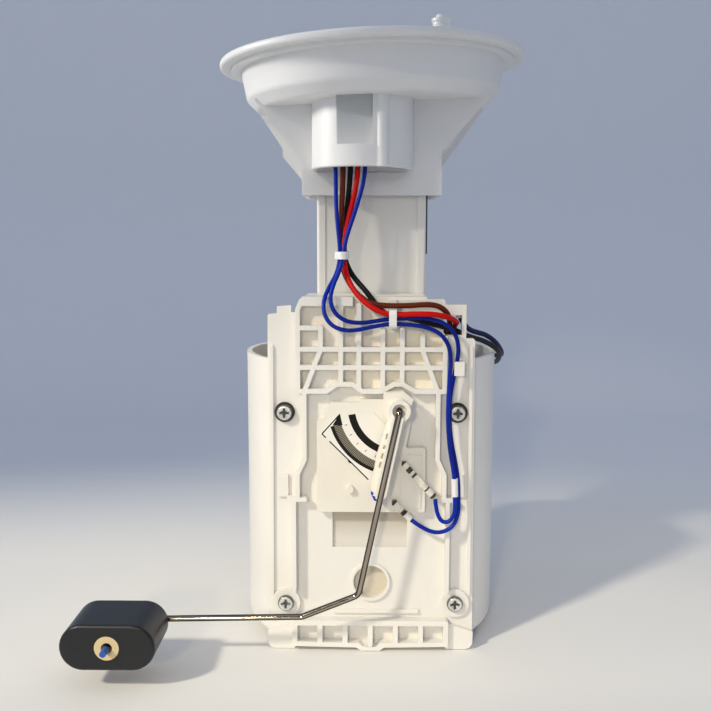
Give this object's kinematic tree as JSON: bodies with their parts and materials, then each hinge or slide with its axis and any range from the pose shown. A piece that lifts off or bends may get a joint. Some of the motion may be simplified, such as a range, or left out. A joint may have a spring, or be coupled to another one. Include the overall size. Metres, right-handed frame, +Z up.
{
  "type": "fuel pump module",
  "caption": "In-tank fuel pump module: open reservoir with a lattice front cover, a sprung sliding tank flange, a float-arm level sender and an electric pump inside.",
  "frame": {"origin": "middle of the rest pad under the reservoir, on the reservoir's axis and the plane that the module stands on", "axes": "+X to the right seen from the sender side, +Y away from the sender side, +Z up towards the tank flange"},
  "size_m": [0.1825, 0.1511, 0.2622],
  "materials": {
    "ivory_body": "satin, slightly translucent acetal",
    "ivory_cover": "satin, slightly translucent acetal",
    "pump_plastic": "satin",
    "black_rubber": "matt",
    "dark_plastic": "satin",
    "float_foam": "fine-pored matt",
    "tan_plastic": "satin",
    "hose_black": "satin",
    "zinc_steel": "zinc plated",
    "bright_steel": "bright drawn",
    "case_steel": "plated",
    "armature_steel": "stacked sheets",
    "bronze": "sintered",
    "magnet_iron": "ground",
    "carbon": "pressed",
    "tin_brass": "tinned in places",
    "ceramic_card": "printed",
    "filter_mesh": "woven",
    "blue_wire": "satin insulation",
    "red_wire": "satin insulation",
    "brown_wire": "satin insulation",
    "black_wire": "satin insulation",
    "navy_wire": "satin insulation"
  },
  "bodies": {
    "module": {"reservoir": "ivory_body", "front_cover": "ivory_cover", "guide_column": "ivory_body", "sender_plate": "ivory_cover", "upper_tie": "ivory_cover", "lower_tie": "ivory_cover", "pump_inlet_cap": "pump_plastic", "pump_outlet_cap": "pump_plastic", "pump_plug": "ivory_cover", "jet_pump": "pump_plastic", "return_tube": "pump_plastic", "rubber_feet": "black_rubber", "screw_rings": "black_rubber", "pump_sleeve": "black_rubber", "guide_strip": "dark_plastic", "wire_sleeve": "ivory_cover", "outlet_hose": "hose_black", "cover_screws": "zinc_steel", "guide_spring": "bright_steel", "lower_hose_clamp": "zinc_steel", "pump_case": "case_steel", "pump_bearings": "bronze", "pump_magnets": "magnet_iron", "pump_brushes": "carbon", "pressure_regulator": "case_steel", "sender_terminals": "tin_brass", "earth_tab": "tin_brass", "resistor_card": "ceramic_card", "intake_strainer": "filter_mesh", "blue_outer_wire": "blue_wire", "blue_inner_wire": "blue_wire", "red_wire": "red_wire", "brown_wire": "brown_wire", "black_wire": "black_wire", "earth_wire": "navy_wire"},
    "flange_unit": {"flange": "ivory_body", "fuel_nipple": "ivory_body", "connector_shell": "ivory_body", "connector_pins": "tin_brass", "harness_plug": "ivory_body", "upper_hose_clamp": "zinc_steel"},
    "float_arm": {"arm_holder": "ivory_cover", "float_rod": "bright_steel", "wiper_contacts": "bright_steel"},
    "float_unit": {"float_block": "float_foam", "float_bush": "tan_plastic"},
    "pump_rotor": {"pump_shaft": "bright_steel", "pump_armature": "armature_steel", "pump_impeller": "pump_plastic"},
    "valve": {"foot_valve": "black_rubber"}
  },
  "joints": [
    {"name": "flange_slide", "type": "slide", "parent": "module", "child": "flange_unit", "axis": [0, 0, 1], "range_m": [-0.02, 0], "stiffness_N_per_m": 300, "springref_m": 0.03, "deforming": ["guide_spring", "outlet_hose", "blue_outer_wire", "blue_inner_wire", "red_wire", "brown_wire", "black_wire"]},
    {"name": "float_arm_pivot", "type": "hinge", "parent": "module", "child": "float_arm", "pos_m": [0.0111, -0.0476, 0.1042], "axis": [0, 1, 0], "range_deg": [0, 66]},
    {"name": "float_roll", "type": "hinge", "parent": "float_arm", "child": "float_unit", "pos_m": [-0.0994, -0.0686, 0.0183], "axis": [0, 1, 0], "continuous": true},
    {"name": "pump_spin", "type": "hinge", "parent": "module", "child": "pump_rotor", "pos_m": [0.006, 0.026, 0.056], "axis": [0, 0, 1], "continuous": true},
    {"name": "foot_valve_lift", "type": "slide", "parent": "module", "child": "valve", "axis": [0, 0, 1], "range_m": [0, 0.0015]}
  ]
}
